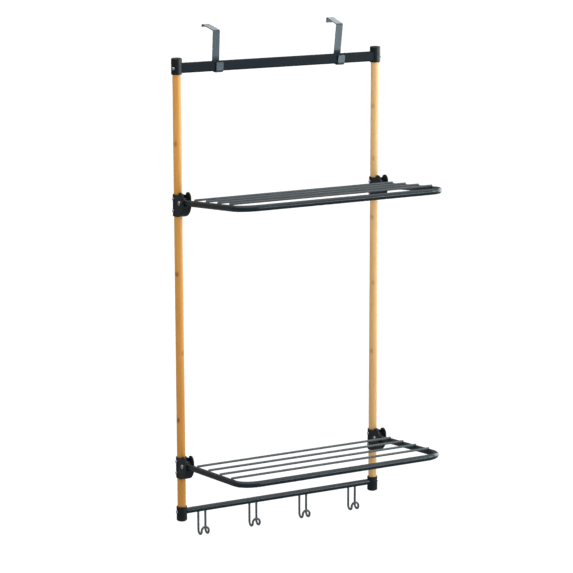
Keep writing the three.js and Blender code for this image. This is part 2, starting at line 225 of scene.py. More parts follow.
def powder_coat(name, pale, dark, smooth, rough, shine):
    """Polyester powder coat baked on steel: satin, with the fine ripple of orange peel."""
    material, tree = new_material(name)
    place = add_node(tree, "ShaderNodeTexCoord", {})["Object"]
    # the ripple's humps are about 1.5 mm across, and the powder's own grit 0.3 mm
    peel = add_node(tree, "ShaderNodeTexNoise", {"Vector": place, "Scale": 650, "Detail": 1})
    grit = add_node(tree, "ShaderNodeTexNoise", {"Vector": place, "Scale": 3000, "Detail": 1})
    # the coat's thickness drifts over 40 mm or so, which shades the black a little
    drift = add_node(tree, "ShaderNodeTexNoise", {"Vector": place, "Scale": 25, "Detail": 3})
    colour = add_node(tree, "ShaderNodeMixRGB", {
        "Fac": drift["Fac"], "Color1": linear(dark), "Color2": linear(pale)})
    sheen = add_node(tree, "ShaderNodeMapRange", {
        "Value": grit["Fac"], "From Min": 0.3, "From Max": 0.7, "To Min": smooth, "To Max": rough})
    ripple = add_node(tree, "ShaderNodeBump", {
        "Height": peel["Fac"], "Strength": 0.15, "Distance": 0.1 * MM})
    shader = add_node(tree, "ShaderNodeBsdfPrincipled", {
        "Base Color": colour["Color"], "Roughness": sheen["Result"], "Normal": ripple["Normal"],
        "IOR": 1.5, "Specular IOR Level": shine})
    add_node(tree, "ShaderNodeOutputMaterial", {"Surface": shader["BSDF"]})
    return material


def moulded_nylon():
    """Black nylon, injection moulded in a spark-eroded tool: an even matt grain, soft highlights."""
    material, tree = new_material("black_moulded_nylon")
    place = add_node(tree, "ShaderNodeTexCoord", {})["Object"]
    # the eroded grain is about 0.5 mm
    grain = add_node(tree, "ShaderNodeTexNoise", {"Vector": place, "Scale": 2000, "Detail": 2})
    # the melt cools unevenly, which leaves slightly glossier patches some 12 mm wide
    patches = add_node(tree, "ShaderNodeTexNoise", {"Vector": place, "Scale": 80, "Detail": 2})
    colour = add_node(tree, "ShaderNodeMixRGB", {
        "Fac": patches["Fac"], "Color1": linear("#0B1115"), "Color2": linear("#131B20")})
    sheen = add_node(tree, "ShaderNodeMapRange", {
        "Value": patches["Fac"], "From Min": 0.3, "From Max": 0.7, "To Min": 0.34, "To Max": 0.46})
    bump = add_node(tree, "ShaderNodeBump", {
        "Height": grain["Fac"], "Strength": 0.2, "Distance": 0.05 * MM})
    shader = add_node(tree, "ShaderNodeBsdfPrincipled", {
        "Base Color": colour["Color"], "Roughness": sheen["Result"], "Normal": bump["Normal"],
        "IOR": 1.53, "Specular IOR Level": 0.3})
    add_node(tree, "ShaderNodeOutputMaterial", {"Surface": shader["BSDF"]})
    return material


def bright_zinc():
    """Steel with bright zinc plating: silvery and lightly clouded, with tumbling marks."""
    material, tree = new_material("bright_zinc_plate")
    place = add_node(tree, "ShaderNodeTexCoord", {})["Object"]
    # crystals of zinc cloud the plating in patches about 1 mm wide
    cloud = add_node(tree, "ShaderNodeTexNoise", {"Vector": place, "Scale": 900, "Detail": 3})
    colour = add_node(tree, "ShaderNodeMixRGB", {
        "Fac": cloud["Fac"], "Color1": linear("#C9CED2"), "Color2": linear("#F1F3F4")})
    sheen = add_node(tree, "ShaderNodeMapRange", {
        "Value": cloud["Fac"], "From Min": 0.3, "From Max": 0.7, "To Min": 0.24, "To Max": 0.38})
    bump = add_node(tree, "ShaderNodeBump", {
        "Height": cloud["Fac"], "Strength": 0.1, "Distance": 0.05 * MM})
    shader = add_node(tree, "ShaderNodeBsdfPrincipled", {
        "Base Color": colour["Color"], "Metallic": 1.0, "Roughness": sheen["Result"],
        "Normal": bump["Normal"]})
    add_node(tree, "ShaderNodeOutputMaterial", {"Surface": shader["BSDF"]})
    return material


SLAT_WIDTH = 4.5 * MM            # bamboo slats glued side by side
KNOT_HALF_WIDTH = 5 * MM
KNOT_HALF_HEIGHT = 11 * MM
# each knot's x and z on its pole, and how dark its stain is
LEFT_KNOTS = [(-8 * MM, -0.19, 0.6), (-8 * MM, -0.53, 0.9), (-9 * MM, -0.92, 0.9), (6 * MM, -0.38, 0.7),
              (3 * MM, -0.74, 0.6), (8 * MM, -1.08, 0.8)]
RIGHT_KNOTS = [(-8 * MM, -0.13, 0.4), (-7 * MM, -0.27, 0.4), (-9 * MM, -0.43, 0.4), (-6 * MM, -0.61, 0.5),
               (-8 * MM, -0.80, 0.5), (5 * MM, -0.35, 0.6), (9 * MM, -0.70, 0.6), (4 * MM, -1.02, 0.6)]


def laminated_bamboo(name, pale, deep, foot_tint, knot_tone, knots, start):
    """Bamboo slats glued and turned to a pole, then lacquered: upright grain, brown knots, satin.

    start picks this pole's own slats."""
    material, tree = new_material(name)
    place = add_node(tree, "ShaderNodeTexCoord", {})["Object"]
    axes = add_node(tree, "ShaderNodeSeparateXYZ", {"Vector": place})

    # each slat has its own tone
    slat = add_node(tree, "ShaderNodeMath", {0: axes["X"], 1: SLAT_WIDTH}, operation="DIVIDE")
    number = add_node(tree, "ShaderNodeMath", {0: slat[0], 1: start}, operation="ADD")
    whole = add_node(tree, "ShaderNodeMath", {0: number[0]}, operation="FLOOR")
    tone = add_node(tree, "ShaderNodeTexWhiteNoise", {"W": whole[0]}, noise_dimensions="1D")

    # fibres are bundles about 0.5 mm wide that run 40 mm up the pole, drawn 1 mm wide to show
    stretch = add_node(tree, "ShaderNodeMapping", {"Vector": place, "Scale": (1000, 1000, 25)})
    fibres = add_node(tree, "ShaderNodeTexNoise", {
        "Vector": stretch["Vector"], "Scale": 1.0, "Detail": 4, "Roughness": 0.6})
    # the colour drifts along the culm over about 200 mm
    slow = add_node(tree, "ShaderNodeMapping", {"Vector": place, "Scale": (60, 60, 5)})
    drift = add_node(tree, "ShaderNodeTexNoise", {"Vector": slow["Vector"], "Scale": 1.0, "Detail": 2})

    grain = add_node(tree, "ShaderNodeMath", {
        0: tone["Value"], 1: 0.45, 2: fibres["Fac"]}, operation="MULTIPLY_ADD")
    both = add_node(tree, "ShaderNodeMath", {0: grain[0], 1: drift["Fac"]}, operation="ADD")
    mixed = add_node(tree, "ShaderNodeMapRange", {
        "Value": both[0], "From Min": 0.75, "From Max": 1.75, "To Min": 0.0, "To Max": 1.0})
    wood = add_node(tree, "ShaderNodeMixRGB", {
        "Fac": mixed["Result"], "Color1": linear(pale), "Color2": linear(deep)})

    # the colour is multiplied darker towards the pole's foot
    foot = add_node(tree, "ShaderNodeMapRange", {
        "Value": axes["Z"], "From Min": 0.0, "From Max": BOTTOM_BAR_Z, "To Min": 0.0, "To Max": 1.0})
    darker_to_foot = add_node(tree, "ShaderNodeMixRGB", {
        "Fac": foot["Result"], "Color1": wood["Color"], "Color2": linear(foot_tint)}, blend_type="MULTIPLY")

    # a knot is a brown smudge on one slat, some 5 mm wide and 12 mm tall, ragged along the fibres
    ragged = add_node(tree, "ShaderNodeVectorMath", {
        0: fibres["Color"], 1: (1 * MM, 0, 5 * MM), 2: place}, operation="MULTIPLY_ADD")
    sized = add_node(tree, "ShaderNodeVectorMath", {
        0: ragged[0], 1: (1 / KNOT_HALF_WIDTH, 0, 1 / KNOT_HALF_HEIGHT)}, operation="MULTIPLY")
    marks = 0.0
    for x, z, depth in knots:
        centre = (x / KNOT_HALF_WIDTH, 0, z / KNOT_HALF_HEIGHT)
        away = add_node(tree, "ShaderNodeVectorMath", {0: sized[0], 1: centre}, operation="DISTANCE")
        stain = add_node(tree, "ShaderNodeMapRange", {
            "Value": away["Value"], "From Min": 0.0, "From Max": 1.0, "To Min": depth, "To Max": 0.0},
            interpolation_type="SMOOTHSTEP")
        marks = add_node(tree, "ShaderNodeMath", {0: stain["Result"], 1: marks}, operation="MAXIMUM")[0]
    colour = add_node(tree, "ShaderNodeMixRGB", {
        "Fac": marks, "Color1": darker_to_foot["Color"], "Color2": linear(knot_tone)})

    ridges = add_node(tree, "ShaderNodeBump", {
        "Height": fibres["Fac"], "Strength": 0.15, "Distance": 0.1 * MM})
    sheen = add_node(tree, "ShaderNodeMapRange", {
        "Value": fibres["Fac"], "From Min": 0.3, "From Max": 0.7, "To Min": 0.36, "To Max": 0.5})
    shader = add_node(tree, "ShaderNodeBsdfPrincipled", {
        "Base Color": colour["Color"], "Roughness": sheen["Result"], "Normal": ridges["Normal"],
        "IOR": 1.5, "Specular IOR Level": 0.4, "Coat Weight": 0.4, "Coat Roughness": 0.3})
    add_node(tree, "ShaderNodeOutputMaterial", {"Surface": shader["BSDF"]})
    return material


def studio_floor():
    """White seamless paper: matt, with the faint unevenness of a rolled sheet."""
    material, tree = new_material("white_paper_floor")
    place = add_node(tree, "ShaderNodeTexCoord", {})["Object"]
    waves = add_node(tree, "ShaderNodeTexNoise", {"Vector": place, "Scale": 1.5, "Detail": 1})
    colour = add_node(tree, "ShaderNodeMixRGB", {
        "Fac": waves["Fac"], "Color1": linear("#F9F9F9"), "Color2": linear("#FBFBFB")})
    shader = add_node(tree, "ShaderNodeBsdfPrincipled", {
        "Base Color": colour["Color"], "Roughness": 0.95, "Specular IOR Level": 0.0})
    add_node(tree, "ShaderNodeOutputMaterial", {"Surface": shader["BSDF"]})
    return material


# Each finish is a material and its slot's name. The steel parts share one black powder coat: the bars come
# out matt, the tubes satin, the wires paler as painted sheen, and the door strips paler as a painted
# reflection.
FINISHES = {
    "bar_coat": (powder_coat("matt_black_powder_coat", "#141E24", "#0F171C", 0.42, 0.52, 0.1),
                 "black_powder_coat"),
    "tube_coat": (powder_coat("satin_black_powder_coat", "#101E25", "#0B171C", 0.24, 0.34, 0.4),
                  "black_powder_coat"),
    # the wires' paler base is painted sheen: the black coat's tone with its highlights taken in
    "wire_coat_painted_sheen": (powder_coat("wire_powder_coat_painted_sheen", "#444A4D", "#3A4043", 0.30, 0.40, 0.4),
                  "black_powder_coat"),
    # the door strips' paler base is a painted reflection of the bright room their flat faces catch, added to
    # what their own softboxes give
    "strip_coat_painted_reflection": (powder_coat("black_powder_coat_painted_reflection", "#273A45", "#202F38", 0.24, 0.34, 0.5),
                   "black_powder_coat"),
    "nylon": (moulded_nylon(), "black_plastic"),
    "zinc": (bright_zinc(), "zinc_steel"),
    "left_bamboo": (laminated_bamboo(
        "left_pole_bamboo", "#D2994A", "#B97D30", "#DED2A6", "#6B3510", LEFT_KNOTS, 7.3), "bamboo"),
    "right_bamboo": (laminated_bamboo(
        "right_pole_bamboo", "#DDB47C", "#C59A62", "#DFD9C9", "#7A5230", RIGHT_KNOTS, 31.6), "bamboo"),
}

# ---- Making shapes ----


def circle(radius, sides):
    turns = [2 * math.pi * i / sides for i in range(sides)]
    return [(radius * math.cos(turn), radius * math.sin(turn)) for turn in turns]


def rounded_rectangle(width, height, corner, steps=6, flats=1):
    """Outline points, anticlockwise. flats splits each straight side."""
    points = []
    corners = [(1, 1, 0), (-1, 1, 90), (-1, -1, 180), (1, -1, 270)]
    for right, up, start in corners:
        centre = (right * (width / 2 - corner), up * (height / 2 - corner))
        for step in range(steps + 1):
            turn = math.radians(start + 90 * step / steps)
            points.append((centre[0] + corner * math.cos(turn), centre[1] + corner * math.sin(turn)))
    split = []
    for here, after in zip(points, points[1:] + points[:1]):
        span = math.dist(here, after)
        parts = flats if span > 2 * corner else 1
        for part in range(parts):
            share = part / parts
            split.append(tuple(a + (b - a) * share for a, b in zip(here, after)))
    return split


def bent_path(corners, radii, steps):
    """Straight legs joined by round bends, as stations of (point, heading)."""
    corners = [Vector(corner) for corner in corners]
    headings = [(after - before).normalized() for before, after in zip(corners, corners[1:])]
    stations = [(corners[0], headings[0])]
    for corner, radius, before, after in zip(corners[1:], radii, headings, headings[1:]):
        angle = before.angle(after)
        inward = (after - before * before.dot(after)).normalized()
        start = corner - before * (radius * math.tan(angle / 2))
        for step in range(steps + 1):
            turn = angle * step / steps
            point = start + before * (radius * math.sin(turn)) + inward * (radius * (1 - math.cos(turn)))
            heading = before * math.cos(turn) + inward * math.sin(turn)
            if (point - stations[-1][0]).length > 0.01 * MM:
                stations.append((point, heading))
    if (corners[-1] - stations[-1][0]).length > 0.01 * MM:
        stations.append((corners[-1], headings[-1]))
    return stations


def rings_along(stations, section, across):
    """The section's points round each station. across is the section's first axis at the start."""
    across = Vector(across)
    rings = []
    for point, heading in stations:
        across = (across - heading * across.dot(heading)).normalized()
        up = heading.cross(across)
        rings.append([point + across * u + up * v for u, v in section])
    return rings


def inset(ring, amount):
    """The ring drawn in towards its middle, for a rounded rim."""
    centre = sum(ring, Vector()) / len(ring)
    return [point + (centre - point).normalized() * amount for point in ring]


def skin(rings, hollow=False):
    """A closed shell over rings of points. A hollow one joins its last ring to its first."""
    shell = bmesh.new()
    made = [[shell.verts.new(point) for point in ring] for ring in rings]
    pairs = list(zip(made, made[1:]))
    if hollow:
        pairs.append((made[-1], made[0]))
    else:
        shell.faces.new(made[0])
        shell.faces.new(made[-1])
    for ring, after in pairs:
        count = len(ring)
        for i in range(count):
            j = (i + 1) % count
            shell.faces.new((ring[i], ring[j], after[j], after[i]))
    bmesh.ops.recalc_face_normals(shell, faces=shell.faces)
    return as_mesh(shell)


def as_mesh(shell):
    mesh = bpy.data.meshes.new("shape")
    shell.to_mesh(mesh)
    shell.free()
    return mesh


def turned(profile, sides=64, hollow=False):
    """A shape turned about Z from (radius, height) points."""
    return skin([[Vector((x, y, height)) for x, y in circle(radius, sides)] for radius, height in profile],
                hollow)


def quarter(centre_radius, centre_height, radius, first, last, steps=5):
    """Profile points round an edge, from angle first to last in degrees."""
    turns = [math.radians(first + (last - first) * step / steps) for step in range(steps + 1)]
    return [(centre_radius + radius * math.cos(turn), centre_height + radius * math.sin(turn))
            for turn in turns]


def slab(outline, low, high, axis="Z"):
    """A flat outline given thickness. Across X, the outline is (forward, up)."""
    def face(depth):
        if axis == "Z":
            return [Vector((x, y, depth)) for x, y in outline]
        return [Vector((depth, -forward, up)) for forward, up in outline]
    return skin([face(low), face(high)])


def moved(mesh, matrix):
    mesh = mesh.copy()
    mesh.transform(matrix)
    return mesh


def onto_x(mesh):
    """A shape turned about Z, laid so that its top points to -X."""
    return moved(mesh, Matrix.Rotation(-math.pi / 2, 4, "Y"))


def evaluated(mesh, *modifiers):
    """The mesh after these modifiers, each given as (kind, settings)."""
    holder = bpy.data.objects.new("work", mesh)
    scene.collection.objects.link(holder)
    for kind, settings in modifiers:
        modifier = holder.modifiers.new(kind, kind)
        for name, value in settings.items():
            setattr(modifier, name, value)
    graph = bpy.context.evaluated_depsgraph_get()
    result = bpy.data.meshes.new_from_object(
        holder.evaluated_get(graph), preserve_all_data_layers=True, depsgraph=graph)
    bpy.data.objects.remove(holder)
    return result


def combined(mesh, other, operation):
    """Two solids joined (UNION) or one cut from the other (DIFFERENCE)."""
    tool = bpy.data.objects.new("tool", other)
    scene.collection.objects.link(tool)
    result = evaluated(mesh, ("BOOLEAN", {
        "operation": operation, "solver": "EXACT", "object": tool}))
    bpy.data.objects.remove(tool)
    return result


def eased(mesh, radius, steps=3):
    """Every sharp edge rounded to a small radius."""
    return evaluated(mesh, ("BEVEL", {
        "width": radius, "segments": steps, "limit_method": "ANGLE", "angle_limit": math.radians(35)}))


def gathered(*meshes):
    """Several shells in one mesh."""
    whole = bmesh.new()
    for mesh in meshes:
        whole.from_mesh(mesh)
    return as_mesh(whole)


def smoothed(mesh, sharp=38):
    """Smooth shading that keeps real edges crisp and flat faces flat."""
    shell = bmesh.new()
    shell.from_mesh(mesh)
    for face in shell.faces:
        face.smooth = True
    for edge in shell.edges:
        edge.smooth = edge.calc_face_angle(0) < math.radians(sharp)
    shell.to_mesh(mesh)
    shell.free()
    return evaluated(mesh, ("WEIGHTED_NORMAL", {"keep_sharp": True, "weight": 50}))


def add_piece(cad_node, mesh, finish, place=Matrix()):
    """Puts a finished piece in place of its CAD node, on the same body."""
    material, slot = FINISHES[finish]
    if not mesh.materials:
        mesh.materials.append(material)
    piece = bpy.data.objects.new(f"{cad_node}_piece", mesh)
    scene.collection.objects.link(piece)
    piece.matrix_world = place
    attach(piece, frame["nodes"][cad_node]["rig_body"])
    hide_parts(cad_node)
    return piece


def at(x, y, z):
    return Matrix.Translation((x, y, z))


# ---- Posts ----

def post_shape():
    edge = 1 * MM
    low = quarter(POST_R - edge, POST_LOW + edge, edge, -90, 0)
    high = quarter(POST_R - edge, POST_HIGH - edge, edge, 0, 90)
    # rings every 50 mm keep the pole's faces short
    count = int((POST_HIGH - POST_LOW) / (50 * MM))
    span = high[0][1] - low[-1][1]
    between = [(POST_R, low[-1][1] + span * i / count) for i in range(1, count)]
    return smoothed(turned(low + between + high))


for side, sign in SIDES.items():
    add_piece(f"{side}_post", post_shape(), f"{side}_bamboo", at(sign * POST_X, 0, 0))

# ---- Bars ----


def bar_shape(outer, inner):
    """A tube between the posts, with ends coped to fit round the caps."""
    saddle = CAP_R + GAP
    rim = 0.4 * MM

    def end_ring(section, sign, back):
        return [Vector((sign * (POST_X - math.sqrt(saddle**2 - y**2) - back), y, z)) for y, z in section]

    trimmed = [(y * (1 - rim / TUBE_R), z * (1 - rim / TUBE_R)) for y, z in outer]
    rings = [end_ring(inner, -1, 0), end_ring(trimmed, -1, 0), end_ring(outer, -1, rim)]
    rings += [[Vector((x, y, z)) for y, z in outer] for x in (-POST_X / 2, 0, POST_X / 2)]
    rings += [end_ring(outer, 1, rim), end_ring(trimmed, 1, 0), end_ring(inner, 1, 0)]
    return smoothed(skin(rings, hollow=True))


top_outer = rounded_rectangle(TOP_BAR_DEEP, TOP_BAR_TALL, TOP_BAR_CORNER, flats=10)
top_inner = rounded_rectangle(TOP_BAR_DEEP - 2 * TOP_BAR_WALL, TOP_BAR_TALL - 2 * TOP_BAR_WALL,
                              TOP_BAR_CORNER - TOP_BAR_WALL, flats=10)
add_piece("top_bar", bar_shape(top_outer, top_inner), "bar_coat")
add_piece("bottom_bar", bar_shape(circle(TUBE_R, 48), circle(TUBE_R - TUBE_WALL, 48)), "tube_coat",
          at(0, 0, BOTTOM_BAR_Z))

# ---- End caps ----


def top_cap_shape():
    rim, crown = 0.8 * MM, 3 * MM
    outside = quarter(CAP_R - rim, rim - TOP_CAP_BELOW, rim, -90, 0)
    outside += quarter(CAP_R - crown, TOP_CAP_ABOVE - crown, crown, 0, 84, 8)
    # the flat top swells by half a millimetre
    outside.append((CAP_R / 2, TOP_CAP_ABOVE - 0.1 * MM))
    outside.append((1 * MM, TOP_CAP_ABOVE))
    cup = turned(outside)
    clear = 2 * (TOP_BAR_WALL + GAP)
    section = rounded_rectangle(TOP_BAR_DEEP - clear, TOP_BAR_TALL - clear, SPIGOT_CORNER)
    ends = (SPIGOT_START, SPIGOT_LENGTH)
    spigot = eased(skin([[Vector((x, y, z)) for y, z in section] for x in ends]), 0.5 * MM)
    socket = turned([(SOCKET_R, -2 * TOP_CAP_BELOW), (SOCKET_R, POST_HIGH + GAP)])
    return smoothed(combined(combined(cup, spigot, "UNION"), socket, "DIFFERENCE"))


def bottom_cap_shape():
    rim = 0.8 * MM
    # the dome starts 5 degrees off its axis, where a small flat closes it
    dome = [(CAP_R * math.sin(turn), -BOTTOM_CAP_BELOW + DOME_TALL * (1 - math.cos(turn)))
            for turn in [math.radians(5 + 85 * i / 12) for i in range(13)]]
    cup = turned(dome + quarter(CAP_R - rim, BOTTOM_CAP_ABOVE - rim, rim, 0, 90))
    bore = TUBE_R - TUBE_WALL - GAP
    spigot = onto_x(turned([(bore, -SPIGOT_LENGTH), (bore, -SPIGOT_START)], 32))
    socket = turned([(SOCKET_R, POST_LOW - GAP - BOTTOM_BAR_Z), (SOCKET_R, 2 * BOTTOM_CAP_ABOVE)])
    return smoothed(combined(combined(cup, spigot, "UNION"), socket, "DIFFERENCE"))


top_cap = top_cap_shape()
bottom_cap = bottom_cap_shape()
for side, sign in SIDES.items():
    facing = Matrix.Rotation(0 if sign < 0 else math.pi, 4, "Z")
    add_piece(f"top_{side}_cap", top_cap, "nylon", at(sign * POST_X, 0, 0) @ facing)
    add_piece(f"bottom_{side}_cap", bottom_cap, "nylon", at(sign * POST_X, 0, BOTTOM_BAR_Z) @ facing)

# ---- Screws, bolts and nuts ----


def dome_profile(radius, tall, skirt, steps=8):
    """The outside of a domed head, from its skirt up to its crown."""
    rise = tall - skirt
    turns = [math.radians(84 * step / steps) for step in range(steps + 1)]
    return [(radius * math.cos(turn), skirt + rise * math.sin(turn)) for turn in turns]


def fastener_shape(head_r, head_tall, shank_r, length, seat, socket):
    """A domed head on a shank, along X, with a socket cut in it. seat is how far its skirt sinks."""
    tip = [(0.7 * shank_r, -length), (shank_r, -length + 0.3 * shank_r)]
    profile = tip + [(shank_r, -seat), (head_r, -seat)]
    profile += dome_profile(head_r, head_tall, 0.35 * head_tall)
    body = turned(profile, 40)
    return smoothed(onto_x(combined(body, socket, "DIFFERENCE")))


def cross_socket():
    """A cross recess: two tapered slots through the crown."""
    reach, wide, deep = 2.1 * MM, 0.45 * MM, 1.7 * MM
    blades = []
    for turn in (0, math.pi / 2):
        top = [Vector((x, y, SCREW_HEAD_TALL + 1 * MM)) for x, y in
               ((-reach, -wide), (reach, -wide), (reach, wide), (-reach, wide))]
        foot = [Vector((x, y, SCREW_HEAD_TALL - deep)) for x, y in
                ((-0.3 * reach, -0.7 * wide), (0.3 * reach, -0.7 * wide),
                 (0.3 * reach, 0.7 * wide), (-0.3 * reach, 0.7 * wide))]
        blades.append(moved(skin([foot, top]), Matrix.Rotation(turn, 4, "Z")))
    return combined(blades[0], blades[1], "UNION")


def hex_socket():
    flats, deep = 4 * MM, 2.2 * MM
    outline = circle(flats / math.sqrt(3), 6)
    return slab(outline, BOLT_HEAD_TALL - deep, BOLT_HEAD_TALL + 1 * MM)


def nut_shape():
    """A hexagon nut with its corners chamfered and its bore countersunk."""
    corner_r = NUT_ACROSS_FLATS / math.sqrt(3)
    half, chamfer = NUT_TALL / 2, 0.5 * MM
    blank = slab(circle(corner_r, 6), -half, half)
    flat_r = NUT_ACROSS_FLATS / 2
    wide = corner_r + 1 * MM
    slope = chamfer / (corner_r - flat_r)
    drop = (wide - flat_r) * slope
    # a double cone takes the corners off both faces
    cone = turned([(flat_r, -half), (wide, -half + drop), (wide, half - drop), (flat_r, half)])
    bore_r = BOLT_SHANK_R + GAP
    bore = turned([(bore_r + 0.6 * MM, -half - 0.2 * MM), (bore_r, -half + 0.5 * MM),
                   (bore_r, half - 0.5 * MM), (bore_r + 0.6 * MM, half + 0.2 * MM)], 32)
    shaped = combined(blank, cone, "INTERSECT")
    return smoothed(onto_x(combined(shaped, bore, "DIFFERENCE")), 25)


screw = fastener_shape(SCREW_HEAD_R, SCREW_HEAD_TALL, SCREW_SHANK_R, SCREW_LENGTH, SCREW_SEAT, cross_socket())
bolt = fastener_shape(BOLT_HEAD_R, BOLT_HEAD_TALL, BOLT_SHANK_R, BOLT_LENGTH, GAP, hex_socket())
nut = nut_shape()


def bolt_hole():
    """A drill for the pivot bolt's hole, along X."""
    radius = BOLT_SHANK_R + GAP
    return onto_x(turned([(radius, -BOLT_LENGTH), (radius, BOLT_LENGTH)], 32))


def add_screw(cad_node, x, z, degrees):
    place = at(x, 0, z) @ Matrix.Rotation(math.radians(degrees), 4, "Z") @ at(-CAP_R - GAP, 0, 0)
    # each screw stopped at its own angle, taken from the length of its name
    own_turn = Matrix.Rotation(math.radians(37 * len(cad_node)), 4, "X")
    add_piece(cad_node, screw, "zinc", place @ own_turn)


for side, sign in SIDES.items():
    outward = 0 if sign < 0 else 180
    add_screw(f"top_{side}_cap_screw", sign * POST_X, 0, outward - sign * TOP_SCREW_TURN)
    add_screw(f"bottom_{side}_cap_screw", sign * POST_X, BOTTOM_BAR_Z, outward)

# ---- Shelf brackets ----


def bracket_shape():
    """A collar on the post with two cheeks that hold the arm's eye, a belly below and a lobe above."""
    outline = [(0, COLLAR_BOTTOM)]
    for i in range(BELLY_STEPS + 1):
        t = i / BELLY_STEPS
        point = BELLY_FOOT * (1 - t) ** 2 + BELLY_PULL * (2 * t * (1 - t)) + BELLY_FRONT * t**2
        outline.append(tuple(point))
    outline += quarter(LOBE_FORWARD, LOBE_HEIGHT, LOBE_R, 0, 160, 22)
    outline += [(CAP_R - 3 * MM, COLLAR_TOP), (0, COLLAR_TOP)]
    sides = slab(outline, -CHEEK_HALF, CHEEK_HALF, "X")

    # the arm turns up in the slot and rests on the slot's raised front edge
    clear = EYE_R + EYE_CLEARANCE
    corner = clear / 2
    beyond = LOBE_FORWARD + LOBE_R

    def rest(forward):
        return forward * math.tan(SHELF_TILT) - TUBE_R / math.cos(SHELF_TILT) - GAP

    corners = [(-clear, beyond), (-clear, -corner), (-corner, -clear), (corner, -clear),
               (EYE_R, rest(EYE_R)), (beyond, rest(beyond)), (beyond, beyond)]
    slot = [(PIVOT_FORWARD + forward, up) for forward, up in corners]
    fork = eased(combined(sides, slab(slot, -SLOT_HALF, SLOT_HALF, "X"), "DIFFERENCE"), 0.9 * MM)

    rim = 1.2 * MM
    collar = turned(quarter(CAP_R - rim, COLLAR_BOTTOM + rim, rim, -90, 0)
                    + quarter(CAP_R - rim, COLLAR_TOP - rim, rim, 0, 90))
    bore = turned([(SOCKET_R, 2 * COLLAR_BOTTOM), (SOCKET_R, 2 * COLLAR_TOP)])
    pivot_hole = moved(bolt_hole(), at(0, -PIVOT_FORWARD, 0))
    body = combined(combined(fork, collar, "UNION"), bore, "DIFFERENCE")
    return smoothed(combined(body, pivot_hole, "DIFFERENCE"))


bracket = bracket_shape()
for level, pivot in PIVOTS.items():
    for side, sign in SIDES.items():
        name = f"{level}_{side}_bracket"
        x = sign * POST_X
        add_piece(name, bracket, "nylon", at(x, 0, pivot.z))
        for word, height in SCREW_HEIGHTS.items():
            add_screw(f"{name}_{word}_screw", x, pivot.z + height, 0)
        add_piece(f"{name}_pivot_bolt", bolt, "zinc", at(x - CHEEK_HALF - GAP, pivot.y, pivot.z))
        add_piece(f"{name}_pivot_nut", nut, "zinc", at(x + CHEEK_HALF + GAP + NUT_TALL / 2, pivot.y, pivot.z))

# ---- Shelves ----


def pipe_shape(stations, sides=40):
    """A bent round tube with its cut ends deburred."""
    rim = 0.3 * MM
    outer = rings_along(stations, circle(TUBE_R, sides), (1, 0, 0))
    inner = rings_along(stations, circle(TUBE_R - TUBE_WALL, sides), (1, 0, 0))

    def end(ring, after):
        lip = inset(ring, rim)
        step = (after[0] - ring[0]).normalized() * rim
        return lip, [point + step for point in ring]

    first_lip, first = end(outer[0], outer[1])
    last_lip, last = end(outer[-1], outer[-2])
    rings = [first_lip, first] + outer[1:-1] + [last, last_lip] + inner[::-1]
    return smoothed(skin(rings, hollow=True))


def rod_shape(stations, sides=20):
    """A bent wire with its ends rounded over. It starts along X or Z, and across is parallel to neither."""
    rings = rings_along(stations, circle(WIRE_R, sides), across=(0, 0.3, 1))
    ease = WIRE_R / 2

    def rounded_end(ring, outward):
        """From the wire's full ring to its tip."""
        turns = [math.radians(degrees) for degrees in (0, 30, 60, 85)]
        return [[point + outward * (ease * (math.sin(turn) - 1)) for point in
                 inset(ring, ease * (1 - math.cos(turn)))] for turn in turns]

    start = rounded_end(rings[0], -stations[0][1])
    finish = rounded_end(rings[-1], stations[-1][1])
    return skin(start[::-1] + rings[1:-1] + finish)


def weld_bead(across, along, tall, sides=16):
    """A small low mound of weld, flattened where it wets the metal."""
    rings = []
    for turn in [math.radians(degrees) for degrees in (-60, -30, 0, 25, 50, 75)]:
        rings.append([Vector((across * math.cos(turn) * x, along * math.cos(turn) * y, tall * math.sin(turn)))
                      for x, y in circle(1, sides)])
    return skin(rings)


def shelf_tube_shape():
    start = -TUBE_START
    corners = [(-POST_X, start, 0), (-POST_X, -SHELF_REACH, 0), (POST_X, -SHELF_REACH, 0), (POST_X, start, 0)]
    return pipe_shape(bent_path(corners, [SHELF_BEND_R] * 2, 20))


def shelf_wire_shape():
    """A straight wire, sunk by the weld into each arm, with a bead of weld round its foot."""
    rod = rod_shape([(Vector((x, 0, 0)), Vector((1, 0, 0))) for x in
                     (-WIRE_HALF_LENGTH, -POST_X / 2, 0, POST_X / 2, WIRE_HALF_LENGTH)])
    bead = weld_bead(across=3.6 * MM, along=WIRE_R + 1 * MM, tall=1.5 * MM)
    bead_x = POST_X - 2 * MM         # on the inner side of the arm's crest
    beads = [moved(bead, at(sign * bead_x, 0, WIRE_SINK - WIRE_R)) for sign in (-1, 1)]
    return smoothed(gathered(rod, *beads), 60)


def eye_shape():
    """The arm's moulded end: a disc on the pivot bolt, with a plug inside the tube."""
    edge = 1 * MM
    disc = onto_x(turned(quarter(EYE_R - edge, -EYE_HALF + edge, edge, -90, 0)
                         + quarter(EYE_R - edge, EYE_HALF - edge, edge, 0, 90)))
    plug_r = TUBE_R - TUBE_WALL - GAP
    tip = -TUBE_START - PLUG_LENGTH
    plug = turned([(plug_r - 0.5 * MM, tip), (plug_r, tip + 1 * MM), (plug_r, 0)], 40)
    plug = moved(plug, Matrix.Rotation(-math.pi / 2, 4, "X"))
    return smoothed(combined(combined(disc, plug, "UNION"), bolt_hole(), "DIFFERENCE"))


